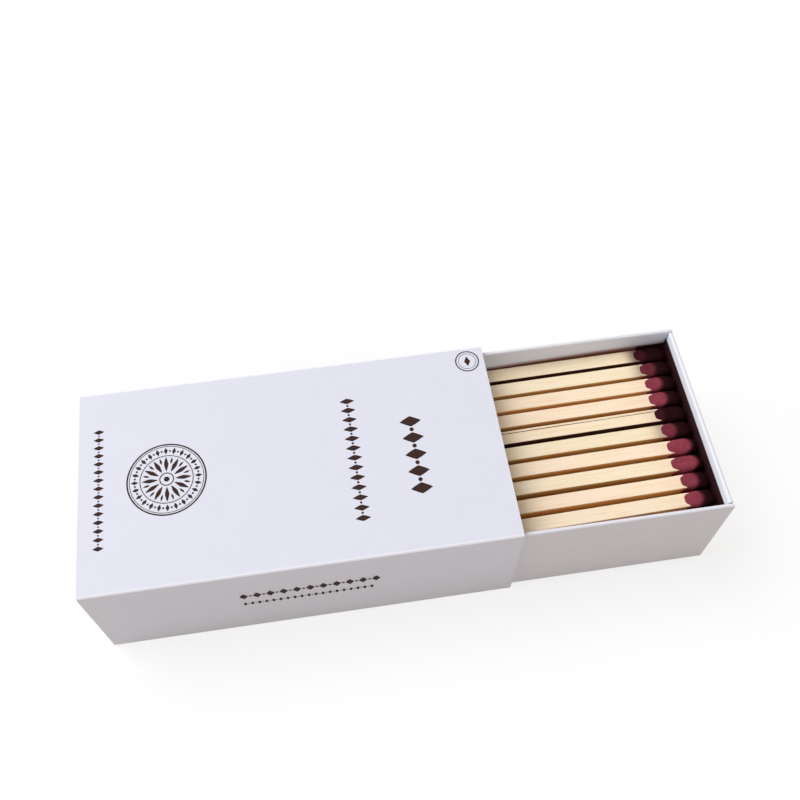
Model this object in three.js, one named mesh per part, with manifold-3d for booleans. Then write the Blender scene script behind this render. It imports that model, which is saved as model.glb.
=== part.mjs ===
// A slide-open box of long wooden matches, its tray drawn half out of the sleeve.
// Millimetres, +Z up. The origin is the centre of the sleeve's underside and the tray opens toward +X.

import * as THREE from 'three';
import Module from 'manifold-3d';
import { mergeVertices } from 'three/addons/utils/BufferGeometryUtils.js';

const wasm = await Module();
wasm.setup();

// Sleeve: one sheet of card folded into a tube, lapped and glued on its underside
const SLEEVE_LENGTH = 105;
const SLEEVE_WIDTH = 55.2;
const SLEEVE_HEIGHT = 35.8;
const SLEEVE_PLY = 0.45;
const SLEEVE_FOLD_RADIUS = 0.35;
const LAP_WIDTH = 11;
const GLUE_SINK = 0.03;
const LAP_EDGE_INSET = 0.25;
const FOLD_FACETS = 5;

// Striking surface: a thin coat on the sleeve's rear long side
const STRIKER_THICKNESS = 0.15;
const STRIKER_MARGIN_TOP = 4;
const STRIKER_MARGIN_BOTTOM = 4;

// Tray: one sheet of card, every wall double with a rolled rim
const TRAY_PULL = 52.8;
const SIDE_CLEARANCE = 0.46;
const TOP_CLEARANCE = 1.64;
const FLOOR_CLEARANCE = 0.3;
const TRAY_PLY = 0.35;
const TRAY_WALL = 1.05;
const TRAY_FOLD_RADIUS = 0.3;
const FREE_EDGE_GAP = 0.2;
const CORNER_SLIT = 0.2;
const END_ROLL_DROP = 0.15;
const FLOOR_LIP = 2.5;
const TAB_THICKNESS = 0.25;
const TAB_REACH = 12;
const TAB_DROP = 3;

// Matches: square splints with dipped heads, all heads at the open end
const MATCH_LENGTH = 96;
const SPLINT_SIDE = 3.8;
const SPLINT_CHAMFER = 0.25;
const HEAD_LENGTH = 9.1;
const HEAD_COAT = 0.4;
const HEAD_FLAT = 0.05;
const HEAD_TIP = 2.4;
const HEAD_BULGE_AT = 0.55;
const HEAD_REAR_TAPER = 0.2;
const HEAD_REAR_SHARPNESS = 3;
const HEAD_SQUARENESS = 4;
const TIP_SHARPNESS = 2.8;
const DIP_GAP = 0.03;
const LOOSE_HEAD = { sides: 12, rings: 7 };
const PACKED_HEAD = { sides: 8, rings: 3 };

// How the matches lie in the tray
const TIP_GAP = 0.45;
const HEADSPACE = 4;
const LAYER_GAP = 0.08;
const LOOSE_GAP = 0.244;
const LOOSE_WALL_GAP = 0.77;
const TOP_CROWDING = 0.5;
const TOP_SWING_REAR = 0.9;
const TOP_SWING_FRONT = -0.35;
const SECOND_SWING_REAR = 0.2;
const SECOND_SWING_FRONT = -0.2;
const TOP_DEEPER_DIPS = [0.7, 0.2, 0.1, 0.5, 0.2, -0.2, -0.3, 0.1, -0.9, -0.4];
const SLIDE_SPREAD = 0.7;
const SLIDE_STEP = 2.4;
const HEAD_PRESS = 0.12;

// Sizes that follow from the ones above
const trayWidth = SLEEVE_WIDTH - 2 * (SLEEVE_PLY + SIDE_CLEARANCE);
const trayLength = SLEEVE_LENGTH;
const trayBottom = 2 * SLEEVE_PLY - GLUE_SINK + FLOOR_CLEARANCE;
const trayRim = SLEEVE_HEIGHT - SLEEVE_PLY - TOP_CLEARANCE;
const trayFloorTop = trayBottom + TRAY_PLY;
const trayInnerWidth = trayWidth - 2 * TRAY_WALL;
const headWidth = SPLINT_SIDE + 2 * HEAD_COAT;
const headHeight = headWidth - 2 * HEAD_FLAT;
const woodLength = MATCH_LENGTH - HEAD_TIP;
const headCentre = MATCH_LENGTH - HEAD_LENGTH * (1 - HEAD_BULGE_AT);
const tailX = trayLength / 2 - TRAY_WALL - TIP_GAP - MATCH_LENGTH;
const splintStep = SPLINT_SIDE + LAYER_GAP;
const headStep = headHeight + LAYER_GAP;
const layerCount = Math.floor((trayRim - trayFloorTop - HEADSPACE) / headStep);

// Finishes
const CARD = { color: 0xe5e6f0, roughness: 0.62, metalness: 0 };
const TRAY_CARD = { color: 0xe9e9f2, roughness: 0.62, metalness: 0 };
const STRIKER = { color: 0x5a3730, roughness: 0.95, metalness: 0 };
const WOOD = { color: 0xf0dcb8, roughness: 0.7, metalness: 0 };
const MATCH_COMPOUND = { color: 0x8a3c48, roughness: 0.8, metalness: 0 };

function toSolid(geometry) {
  const bare = geometry.clone();
  bare.deleteAttribute('normal');
  bare.deleteAttribute('uv');
  const merged = mergeVertices(bare, 1e-5);
  return new wasm.Manifold(new wasm.Mesh({
    numProp: 3,
    vertProperties: Float32Array.from(merged.attributes.position.array),
    triVerts: Uint32Array.from(merged.index.array),
  }));
}

function toGeometry(solid) {
  const mesh = solid.getMesh();
  const geometry = new THREE.BufferGeometry();
  geometry.setAttribute('position', new THREE.BufferAttribute(mesh.vertProperties, 3));
  geometry.setIndex(new THREE.BufferAttribute(mesh.triVerts, 1));
  geometry.computeVertexNormals();
  return geometry;
}

function unite(geometries) {
  const solids = geometries.map(toSolid);
  return toGeometry(solids.reduce((whole, solid) => whole.add(solid)));
}

function piece(name, geometry, finish) {
  const mesh = new THREE.Mesh(geometry, new THREE.MeshStandardMaterial(finish));
  mesh.name = name;
  return mesh;
}

// Points along a sheet's middle surface, each with its normal. A route is a list of [u, v, radius]:
// every corner between its two ends is a fold with that inner radius.
function foldedRoute(route, ply) {
  const points = route.map(([u, v]) => new THREE.Vector2(u, v));
  const samples = [];
  const normalOf = (direction) => new THREE.Vector2(-direction.y, direction.x);
  const put = (at, normal) => {
    const last = samples[samples.length - 1];
    if (!last || last.at.distanceTo(at) > 1e-4) samples.push({ at, normal });
  };
  const headings = points.slice(1).map((point, i) => point.clone().sub(points[i]).normalize());
  put(points[0], normalOf(headings[0]));
  for (let i = 1; i < points.length - 1; i += 1) {
    const middleRadius = route[i][2] + ply / 2;
    const arriving = headings[i - 1];
    const turn = Math.atan2(arriving.cross(headings[i]), arriving.dot(headings[i]));
    const side = Math.sign(turn);
    const setback = middleRadius * Math.tan(Math.abs(turn) / 2);
    const start = points[i].clone().addScaledVector(arriving, -setback);
    const startNormal = normalOf(arriving);
    const centre = start.clone().addScaledVector(startNormal, side * middleRadius);
    for (let step = 0; step <= FOLD_FACETS; step += 1) {
      const normal = startNormal.clone().rotateAround(new THREE.Vector2(), turn * step / FOLD_FACETS);
      put(centre.clone().addScaledVector(normal, -side * middleRadius), normal);
    }
  }
  put(points[points.length - 1], normalOf(headings[headings.length - 1]));
  return samples;
}

// The section of a folded sheet: out along one face of the card and back along the other
function foldedSection(route, ply) {
  const samples = foldedRoute(route, ply);
  const face = (offset) => samples.map(({ at, normal }) => at.clone().addScaledVector(normal, offset));
  return new THREE.Shape([...face(ply / 2), ...face(-ply / 2).reverse()]);
}

// A section in the YZ plane, run along X and centred on x = 0
function alongX(shape, length) {
  const geometry = new THREE.ExtrudeGeometry(shape, { depth: length, bevelEnabled: false });
  geometry.translate(0, 0, -length / 2);
  const axes = new THREE.Matrix4().makeBasis(
    new THREE.Vector3(0, 1, 0),
    new THREE.Vector3(0, 0, 1),
    new THREE.Vector3(1, 0, 0),
  );
  return geometry.applyMatrix4(axes);
}

// A section in the XZ plane, run along Y and centred on y = 0
function alongY(shape, width) {
  const geometry = new THREE.ExtrudeGeometry(shape, { depth: width, bevelEnabled: false });
  geometry.translate(0, 0, -width / 2);
  return geometry.rotateX(Math.PI / 2);
}

function block(sizeX, sizeY, sizeZ, x, y, z) {
  return new THREE.BoxGeometry(sizeX, sizeY, sizeZ).translate(x, y, z);
}

// The tube's lap turns in from the rear wall and lies glued on the bottom panel, whose raw edge
// shows along the rear lower corner
function sleeve() {
  const middle = SLEEVE_PLY / 2;
  const side = SLEEVE_WIDTH / 2 - middle;
  const top = SLEEVE_HEIGHT - middle;
  const lapLevel = SLEEVE_PLY + middle - GLUE_SINK;
  const joinLevel = SLEEVE_HEIGHT / 2;
  const fold = SLEEVE_FOLD_RADIUS;
  const upper = [
    [side - LAP_WIDTH, lapLevel],
    [side, lapLevel, fold],
    [side, top, fold],
    [-side, top, fold],
    [-side, joinLevel],
  ];
  const lower = [
    [-side, joinLevel],
    [-side, middle, fold],
    [SLEEVE_WIDTH / 2 - LAP_EDGE_INSET, middle],
  ];
  const tube = unite([upper, lower].map((route) => (
    alongX(foldedSection(route, SLEEVE_PLY), SLEEVE_LENGTH)
  )));
  return piece('sleeve', tube, CARD);
}

function strikerStrip() {
  const height = SLEEVE_HEIGHT - STRIKER_MARGIN_TOP - STRIKER_MARGIN_BOTTOM;
  const level = STRIKER_MARGIN_BOTTOM + height / 2;
  const y = (SLEEVE_WIDTH + STRIKER_THICKNESS) / 2;
  const coat = block(SLEEVE_LENGTH, STRIKER_THICKNESS, height, 0, y, level);
  return piece('striker_strip', coat, STRIKER);
}

// A double wall's section: from the inner sheet's free edge over the rolled rim, down the outer face
// and in under the floor. reach is the wall's outer face and rim its height. The rim is a half-round
// roll as thick as the wall; the fold to the floor is tighter.
function doubleWallSection(reach, rim) {
  const middle = TRAY_PLY / 2;
  const outer = reach - middle;
  const inner = reach - TRAY_WALL + middle;
  const rollRadius = (TRAY_WALL - 2 * TRAY_PLY) / 2;
  return foldedSection([
    [inner, trayFloorTop + FREE_EDGE_GAP],
    [inner, rim - middle, rollRadius],
    [outer, rim - middle, rollRadius],
    [outer, trayBottom + middle, TRAY_FOLD_RADIUS],
    [reach - TRAY_WALL - FLOOR_LIP, trayBottom + middle],
  ], TRAY_PLY);
}

// A pair: the part and its twin, turned half round the tray's middle
function bothEnds(part) {
  return [part, part.clone().rotateZ(Math.PI)];
}

// Side walls run the tray's full length, end walls stand between them with a slit at each corner,
// and tabs from the side walls reach into the end walls' hollow
function tray() {
  const endWidth = trayInnerWidth - 2 * CORNER_SLIT;
  const side = alongX(doubleWallSection(trayWidth / 2, trayRim), trayLength);
  const end = alongY(doubleWallSection(trayLength / 2, trayRim - END_ROLL_DROP), endWidth);
  const floor = block(trayLength - 2 * TRAY_WALL, endWidth, TRAY_PLY, 0, 0, trayBottom + TRAY_PLY / 2);
  const tabLength = TAB_REACH + TRAY_PLY;
  const tabFoot = trayFloorTop + FREE_EDGE_GAP;
  const tabHeight = trayRim - TAB_DROP - tabFoot;
  const tabs = [1, -1].map((hand) => block(
    TAB_THICKNESS,
    tabLength,
    tabHeight,
    (trayLength - TRAY_WALL) / 2,
    hand * (trayInnerWidth / 2 + TRAY_PLY - tabLength / 2),
    tabFoot + tabHeight / 2,
  ));
  return piece('tray', unite([floor, ...[side, end, ...tabs].flatMap(bothEnds)]), TRAY_CARD);
}

// A plain square stick, its tail at x = 0
function plainSplint(length) {
  return block(length, SPLINT_SIDE, SPLINT_SIDE, length / 2, 0, 0);
}

// A square stick with softened edges, its tail at x = 0
function splintGeometry(length) {
  const half = SPLINT_SIDE / 2;
  const flat = half - SPLINT_CHAMFER;
  const corners = [[1, 1], [-1, 1], [-1, -1], [1, -1]];
  const outline = corners.flatMap(([u, v]) => {
    const beside = new THREE.Vector2(u * half, v * flat);
    const above = new THREE.Vector2(u * flat, v * half);
    return u === v ? [beside, above] : [above, beside];
  });
  return alongX(new THREE.Shape(outline), length).translate(length / 2, 0, 0);
}

// How full the head is at a share of its length: it swells from the splint and ends in a blunt tip
function headFullness(share) {
  if (share < HEAD_BULGE_AT) {
    return 1 - HEAD_REAR_TAPER * ((HEAD_BULGE_AT - share) / HEAD_BULGE_AT) ** HEAD_REAR_SHARPNESS;
  }
  const toTip = (share - HEAD_BULGE_AT) / (1 - HEAD_BULGE_AT);
  return Math.max(0, 1 - toTip ** TIP_SHARPNESS) ** (1 / TIP_SHARPNESS);
}

// Rings of a rounded square, closed by a flat back and a point at the tip. dip is the head's length.
function headBody({ sides, rings }, dip) {
  const positions = [];
  const start = MATCH_LENGTH - dip;
  for (let ring = 0; ring < rings; ring += 1) {
    const share = Math.sin((ring / rings) * Math.PI / 2);
    const fullness = headFullness(share);
    for (let i = 0; i < sides; i += 1) {
      const angle = (i / sides) * 2 * Math.PI;
      const rounded = (value) => Math.sign(value) * Math.abs(value) ** (2 / HEAD_SQUARENESS);
      positions.push(
        start + share * dip,
        fullness * headWidth / 2 * rounded(Math.cos(angle)),
        fullness * headHeight / 2 * rounded(Math.sin(angle)),
      );
    }
  }
  const back = positions.length / 3;
  positions.push(start, 0, 0, MATCH_LENGTH, 0, 0);
  const triangles = [];
  for (let i = 0; i < sides; i += 1) {
    const next = (i + 1) % sides;
    triangles.push(back, next, i);
    for (let ring = 0; ring < rings - 1; ring += 1) {
      const here = ring * sides;
      const ahead = here + sides;
      triangles.push(here + i, here + next, ahead + next);
      triangles.push(here + i, ahead + next, ahead + i);
    }
    const last = (rings - 1) * sides;
    triangles.push(last + i, last + next, back + 1);
  }
  const geometry = new THREE.BufferGeometry();
  geometry.setAttribute('position', new THREE.BufferAttribute(new Float32Array(positions), 3));
  geometry.setIndex(triangles);
  return geometry;
}

// The dipped head is hollow where the splint's end sits in it, HEAD_TIP short of its point
function headGeometry(dip) {
  const grow = 1 + 2 * DIP_GAP / SPLINT_SIDE;
  const socket = splintGeometry(woodLength + DIP_GAP).scale(1, grow, grow);
  return toGeometry(toSolid(headBody(LOOSE_HEAD, dip)).subtract(toSolid(socket)));
}

// A layer is a flat bed of matches. Heads are thicker than splints, so each layer leans a little more.
function layerGroup(layer) {
  const bed = new THREE.Group();
  const rise = (layer + 0.5) * (headStep - splintStep);
  bed.position.set(tailX, 0, trayFloorTop + (layer + 0.5) * splintStep);
  bed.rotation.y = -Math.asin(rise / headCentre);
  return bed;
}

// How far a match has slid back from the end wall
function slideBack(index, layer) {
  return -SLIDE_SPREAD * (1 + Math.sin(SLIDE_STEP * index + layer)) / 2;
}

// Separate matches, from the rear wall to the front. lie says how they lie: how far each has slid, how
// deep it was dipped, how far the middle ones crowd to the rear, and how far the tails swing.
function looseLayer(layer, label, lie) {
  const bed = layerGroup(layer);
  const pitch = headWidth + LOOSE_GAP;
  const rearY = trayInnerWidth / 2 - LOOSE_WALL_GAP - headWidth / 2;
  const count = Math.floor((rearY + trayInnerWidth / 2 - headWidth / 2) / pitch) + 1;
  for (let i = 0; i < count; i += 1) {
    const across = i / (count - 1);
    const swing = THREE.MathUtils.lerp(lie.swingRear, lie.swingFront, across);
    const y = rearY - i * pitch + lie.crowding * Math.sin(Math.PI * across);
    const match = new THREE.Group();
    match.rotation.z = -Math.asin(swing / headCentre);
    match.position.set(lie.slideOf(i), y + swing, 0);
    const number = String(i + 1).padStart(2, '0');
    match.add(piece(`${label}_splint_${number}`, splintGeometry(woodLength), WOOD));
    match.add(piece(`${label}_head_${number}`, headGeometry(lie.dipOf(i)), MATCH_COMPOUND));
    bed.add(match);
  }
  return bed;
}

// A packed row: whole matches side by side, pressed together at their heads
function packedLayer(layer) {
  const bed = layerGroup(layer);
  const pitch = headWidth - HEAD_PRESS;
  const count = Math.floor((trayInnerWidth - headWidth) / pitch) + 1;
  const matches = [];
  for (let i = 0; i < count; i += 1) {
    const y = (i - (count - 1) / 2) * pitch;
    const slide = slideBack(i, layer);
    matches.push(plainSplint(woodLength).translate(slide, y, 0));
    matches.push(headBody(PACKED_HEAD, HEAD_LENGTH).translate(slide, y, 0));
  }
  bed.add(piece(`packed_matches_${layer + 1}`, unite(matches), WOOD));
  return bed;
}

function matchesInTray() {
  const pile = new THREE.Group();
  const second = layerCount - 2;
  const top = layerCount - 1;
  for (let layer = 0; layer < second; layer += 1) pile.add(packedLayer(layer));
  pile.add(looseLayer(second, 'second', {
    slideOf: (i) => slideBack(i, second),
    dipOf: () => HEAD_LENGTH,
    crowding: 0,
    swingRear: SECOND_SWING_REAR,
    swingFront: SECOND_SWING_FRONT,
  }));
  pile.add(looseLayer(top, 'top', {
    slideOf: () => 0,
    dipOf: (i) => HEAD_LENGTH + TOP_DEEPER_DIPS[i % TOP_DEEPER_DIPS.length],
    crowding: TOP_CROWDING,
    swingRear: TOP_SWING_REAR,
    swingFront: TOP_SWING_FRONT,
  }));
  return pile;
}

const matchbox = new THREE.Group();
matchbox.add(sleeve(), strikerStrip());

const drawer = new THREE.Group();
drawer.position.x = TRAY_PULL;
drawer.add(tray(), matchesInTray());
matchbox.add(drawer);

export default matchbox;
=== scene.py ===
"""Looks of a slide-open box of long wooden matches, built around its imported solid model.

Lengths are metres unless a name ends in _mm. +X runs along the sleeve toward the drawn-out tray,
+Y toward the striking surface at the rear, +Z up. The surface it rests on is z = 0.
"""

import logging
import math
from dataclasses import dataclass, field
from enum import Enum

import bmesh
import bpy
import numpy as np
from mathutils import Euler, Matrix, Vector


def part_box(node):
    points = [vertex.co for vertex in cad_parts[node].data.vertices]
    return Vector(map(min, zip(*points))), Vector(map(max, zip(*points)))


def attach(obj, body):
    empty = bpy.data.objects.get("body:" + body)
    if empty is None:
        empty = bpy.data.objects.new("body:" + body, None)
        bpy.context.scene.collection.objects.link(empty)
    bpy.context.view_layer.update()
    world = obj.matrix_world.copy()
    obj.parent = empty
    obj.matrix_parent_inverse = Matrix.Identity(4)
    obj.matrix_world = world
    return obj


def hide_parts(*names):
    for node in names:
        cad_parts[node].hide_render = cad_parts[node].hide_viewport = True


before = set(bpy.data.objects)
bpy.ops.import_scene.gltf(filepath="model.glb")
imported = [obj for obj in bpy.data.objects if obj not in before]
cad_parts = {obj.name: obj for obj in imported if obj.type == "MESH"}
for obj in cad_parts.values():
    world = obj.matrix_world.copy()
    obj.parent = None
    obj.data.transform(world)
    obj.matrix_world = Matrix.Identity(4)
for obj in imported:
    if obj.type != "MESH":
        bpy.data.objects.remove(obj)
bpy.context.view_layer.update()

LOG = logging.getLogger("matchbox")
MM = 0.001

Colour = tuple[float, float, float]
Point = tuple[float, float, float]
Spot = tuple[float, float]
Pair = tuple[float, float]
Socket = bpy.types.NodeSocket
Material = bpy.types.Material
Piece = bpy.types.Object

WHITE: Colour = (1.0, 1.0, 1.0)


class Face(Enum):
    """The sleeve's printed panels."""

    TOP = "top"
    FRONT = "front"


class Row(Enum):
    """The two layers of loose matches, by the first word of their nodes' names."""

    TOP = "top"
    SECOND = "second"


class NodeGraph:
    """A node tree, with short calls for the nodes that the finishes and the studio share."""

    def __init__(self, tree: bpy.types.NodeTree) -> None:
        """Takes over a tree and empties it.

        Args:
            tree: The tree.
        """
        self.tree = tree
        self.tree.nodes.clear()

    def add(self, kind: str) -> bpy.types.Node:
        """A new node of one kind."""
        return self.tree.nodes.new(kind)

    def link(self, source: Socket, target: Socket) -> None:
        """Joins two sockets."""
        self.tree.links.new(source, target)

    def math(self, operation: str, first: Socket | float, second: Socket | float = 0.0) -> Socket:
        """One sum.

        Args:
            operation: A Math node's operation.
            first: Its first value.
            second: Its second value.

        Returns:
            The result.
        """
        node = self.add("ShaderNodeMath")
        node.operation = operation
        for socket, value in zip(node.inputs, (first, second)):
            if isinstance(value, (int, float)):
                socket.default_value = value
            else:
                self.link(value, socket)
        return node.outputs["Value"]

    def mix_shaders(self, share: Socket, first: Socket, second: Socket) -> Socket:
        """Two shaders mixed.

        Args:
            share: How much of the second there is.
            first: The first shader.
            second: The second shader.

        Returns:
            The mixed shader.
        """
        node = self.add("ShaderNodeMixShader")
        for socket, value in zip(node.inputs, (share, first, second)):
            self.link(value, socket)
        return node.outputs["Shader"]

    def seen_directly(self) -> Socket:
        """1 for a camera, glossy or transmission ray and 0 for light that only fills."""
        rays = self.add("ShaderNodeLightPath")
        seen = rays.outputs["Is Camera Ray"]
        for kind in ("Is Glossy Ray", "Is Transmission Ray"):
            seen = self.math("MAXIMUM", seen, rays.outputs[kind])
        return seen


class MaterialGraph(NodeGraph):
    """A material's node tree around one Principled shader."""

    def __init__(self, name: str) -> None:
        """Starts an empty material with an output and a Principled shader.

        Args:
            name: The material's name.
        """
        self.material = bpy.data.materials.new(name)
        self.material.use_nodes = True
        super().__init__(self.material.node_tree)
        self.output = self.add("ShaderNodeOutputMaterial")
        self.shader = self.add("ShaderNodeBsdfPrincipled")
        self.link(self.shader.outputs["BSDF"], self.output.inputs["Surface"])

    def drive(self, name: str, source: Socket) -> None:
        """Links a value that varies over the surface to one of the shader's sockets."""
        self.link(source, self.shader.inputs[name])

    def hold(self, name: str, value: float) -> None:
        """Sets a number that is the same all over on the shader's own socket."""
        self.shader.inputs[name].default_value = value

    def object_coordinates(self, scale: Point = (1.0, 1.0, 1.0)) -> Socket:
        """The piece's own coordinates in metres, stretched.

        Args:
            scale: The factor on each axis.

        Returns:
            The stretched vector.
        """
        place = self.add("ShaderNodeTexCoord")
        mapping = self.add("ShaderNodeMapping")
        mapping.inputs["Scale"].default_value = scale
        self.link(place.outputs["Object"], mapping.inputs["Vector"])
        return mapping.outputs["Vector"]

    def attribute(self, name: str) -> Socket:
        """One number that the mesh carries for each point."""
        node = self.add("ShaderNodeAttribute")
        node.attribute_name = name
        return node.outputs["Fac"]

    def noise(self, vector: Socket, scale: float, detail: float = 3.0,
              roughness: float = 0.55) -> Socket:
        """Fractal noise.

        Args:
            vector: Where it is read.
            scale: Features per unit of the vector.
            detail: How many finer layers it has.
            roughness: How strong the finer layers are.

        Returns:
            The noise, about 0.5 on average.
        """
        node = self.add("ShaderNodeTexNoise")
        node.inputs["Scale"].default_value = scale
        node.inputs["Detail"].default_value = detail
        node.inputs["Roughness"].default_value = roughness
        self.link(vector, node.inputs["Vector"])
        return node.outputs["Fac"]

    def ramp(self, value: Socket, stops: list[tuple[float, Colour]]) -> Socket:
        """A colour for each value.

        Args:
            value: What is looked up, from 0 to 1.
            stops: Each stop's place and colour.

        Returns:
            The colour.
        """
        node = self.add("ShaderNodeValToRGB")
        elements = node.color_ramp.elements
        while len(elements) < len(stops):
            elements.new(0.5)
        for element, (place, colour) in zip(elements, stops):
            element.position = place
            element.color = (*colour, 1.0)
        self.link(value, node.inputs["Fac"])
        return node.outputs["Color"]

    def band(self, value: Socket, low: float, high: float) -> Socket:
        """0 below low, 1 above high and a straight climb between."""
        node = self.add("ShaderNodeMapRange")
        node.inputs["From Min"].default_value = low
        node.inputs["From Max"].default_value = high
        self.link(value, node.inputs["Value"])
        return node.outputs["Result"]

    def below(self, value: Socket, low: float, high: float) -> Socket:
        """1 below low, 0 above high and a straight fall between."""
        return self.math("SUBTRACT", 1.0, self.band(value, low, high))

    def axis(self, vector: Socket, name: str) -> Socket:
        """One axis of a vector, X, Y or Z."""
        node = self.add("ShaderNodeSeparateXYZ")
        self.link(vector, node.inputs["Vector"])
        return node.outputs[name]

    def away(self, vector: Socket, name: str, middle: float = 0.0) -> Socket:
        """How far a vector is from a plane across one axis.

        Args:
            vector: The vector.
            name: The axis, X, Y or Z.
            middle: Where the plane crosses it.

        Returns:
            The distance, on either side.
        """
        offset = self.math("SUBTRACT", self.axis(vector, name), middle)
        return self.math("ABSOLUTE", offset)

    def mix(self, share: Socket | float, first: Socket | Colour, second: Socket | Colour,
            blend: str = "MIX") -> Socket:
        """Two colours mixed.

        Args:
            share: How much of the second there is.
            first: The first colour.
            second: The second colour.
            blend: A Mix node's blend type.

        Returns:
            The mixed colour.
        """
        node = self.add("ShaderNodeMix")
        node.data_type = "RGBA"
        node.blend_type = blend
        sockets = (node.inputs[0], node.inputs[6], node.inputs[7])
        for socket, value in zip(sockets, (share, first, second)):
            if isinstance(value, (int, float)):
                socket.default_value = value
            elif isinstance(value, tuple):
                socket.default_value = (*value, 1.0)
            else:
                self.link(value, socket)
        return node.outputs[2]

    def times(self, first: Socket | Colour, second: Socket | Colour) -> Socket:
        """One colour multiplied by another."""
        return self.mix(1.0, first, second, "MULTIPLY")

    def bump(self, height: Socket, depth: float, strength: float = 1.0,
             below: Socket | None = None) -> Socket:
        """A relief that only shades.

        Args:
            height: The relief, from 0 to 1.
            depth: Its depth in metres.
            strength: How much of it shows.
            below: Another bump that it lies on.

        Returns:
            The bent normal.
        """
        node = self.add("ShaderNodeBump")
        node.inputs["Distance"].default_value = depth
        node.inputs["Strength"].default_value = strength
        self.link(height, node.inputs["Height"])
        if below is not None:
            self.link(below, node.inputs["Normal"])
        return node.outputs["Normal"]


@dataclass(frozen=True, kw_only=True)
class BoardLayer:
    """Something that recolours a board in one place."""

    colour: Colour

    def share(self, graph: MaterialGraph, place: Socket) -> Socket:
        """How much of it each place has.

        Args:
            graph: The board's graph.
            place: The piece's own coordinates.

        Returns:
            The share, 0 to 1.
        """
        raise NotImplementedError

    def tint(self, graph: MaterialGraph, place: Socket, flecks: Socket) -> Socket | Colour:
        """Its colour, which is plain unless the layer says otherwise.

        Args:
            graph: The board's graph.
            place: The piece's own coordinates.
            flecks: The board's fine flecks.

        Returns:
            The colour.
        """
        return self.colour


@dataclass(frozen=True, kw_only=True)
class FoldHighlight(BoardLayer):
    """A painted highlight: the coating painted paler along the sleeve's four long folds.

    Each pair of distances says how far inside a face the highlight starts and is full.
    """

    colour: Colour = (0.86, 0.875, 0.95)
    half_width: float
    middle_z: float
    half_height: float
    side_highlight: Pair = (0.8 * MM, 0.56 * MM)
    level_highlight: Pair = (0.68 * MM, 0.4 * MM)

    def share(self, graph: MaterialGraph, place: Socket) -> Socket:
        """How much painted highlight each place has: 1 close to both of the faces that meet in a
        fold.

        Args:
            graph: The board's graph.
            place: The piece's own coordinates.

        Returns:
            The share, 0 to 1.
        """
        side = graph.band(graph.away(place, "Y"),
                          *(self.half_width - depth for depth in self.side_highlight))
        level = graph.band(graph.away(place, "Z", self.middle_z),
                           *(self.half_height - depth for depth in self.level_highlight))
        return graph.math("MULTIPLY", side, level)


@dataclass(frozen=True, kw_only=True)
class InnerFaces(BoardLayer):
    """The tray's inner faces, painted paler than its outside to lift the shade inside the tray, the
    long walls painted cooler against the wood's warm bounce.
    """

    colour: Colour = (0.885, 0.93, 1.0)
    side_colour: Colour = (0.81, 0.865, 1.0)
    side_depth: float = 1 * MM
    middle_x: float
    half_length: float
    half_width: float

    def share(self, graph: MaterialGraph, place: Socket) -> Socket:
        """1 inside the middle planes of the four walls and 0 outside them.

        Args:
            graph: The board's graph.
            place: The piece's own coordinates.

        Returns:
            The share, 0 or 1.
        """
        between = graph.math("LESS_THAN", graph.away(place, "Y"), self.half_width)
        along = graph.away(place, "X", self.middle_x)
        return graph.math("MULTIPLY", between, graph.math("LESS_THAN", along, self.half_length))

    def tint(self, graph: MaterialGraph, place: Socket, flecks: Socket) -> Socket:
        """The tone of the long walls or of the rest, with the board's flecks.

        Args:
            graph: The board's graph.
            place: The piece's own coordinates.
            flecks: The board's fine flecks.

        Returns:
            The colour.
        """
        aside = graph.away(place, "Y")
        on_side = graph.math("GREATER_THAN", aside, self.half_width - self.side_depth)
        return graph.times(graph.mix(on_side, self.colour, self.side_colour), flecks)


@dataclass(frozen=True, kw_only=True)
class StickShadow(BoardLayer):
    """Painted shadow on the long walls' inner faces: a brown line along the tops of the outer
    matches, with the wood's warm bounce.
    """

    colour: Colour = (0.40, 0.19, 0.15)
    inner: InnerFaces
    wall: float
    start_z: float
    slope: float
    reach: float = 1.2 * MM
    sink: float = 0.4

    def share(self, graph: MaterialGraph, place: Socket) -> Socket:
        """How much painted shadow each place has: it fades out from just under the tops to reach
        above them.

        The tops lie at z = start_z + slope * x.

        Args:
            graph: The board's graph.
            place: The piece's own coordinates.

        Returns:
            The share, 0 to 1.
        """
        rise = graph.math("MULTIPLY", graph.axis(place, "X"), self.slope)
        top = graph.math("ADD", rise, self.start_z)
        above = graph.math("SUBTRACT", graph.axis(place, "Z"), top)
        line = graph.below(above, -self.sink * self.reach, self.reach)
        aside = graph.away(place, "Y")
        on_wall = graph.math("GREATER_THAN", aside, self.inner.half_width - self.wall)
        on_wall = graph.math("MULTIPLY", on_wall, self.inner.share(graph, place))
        return graph.math("MULTIPLY", line, on_wall)


@dataclass(frozen=True, kw_only=True)
class RimHighlight(BoardLayer):
    """A painted highlight on the walls' rolled rim: the coating painted paler near its top."""

    colour: Colour = (0.76, 0.77, 0.825)
    top_z: float
    reach: float = 0.5 * MM

    def share(self, graph: MaterialGraph, place: Socket) -> Socket:
        """1 in the upper half of the roll, falling to 0 at its lower end.

        Args:
            graph: The board's graph.
            place: The piece's own coordinates.

        Returns:
            The share, 0 to 1.
        """
        height = graph.axis(place, "Z")
        return graph.band(height, self.top_z - self.reach, self.top_z - self.reach / 2)


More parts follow.
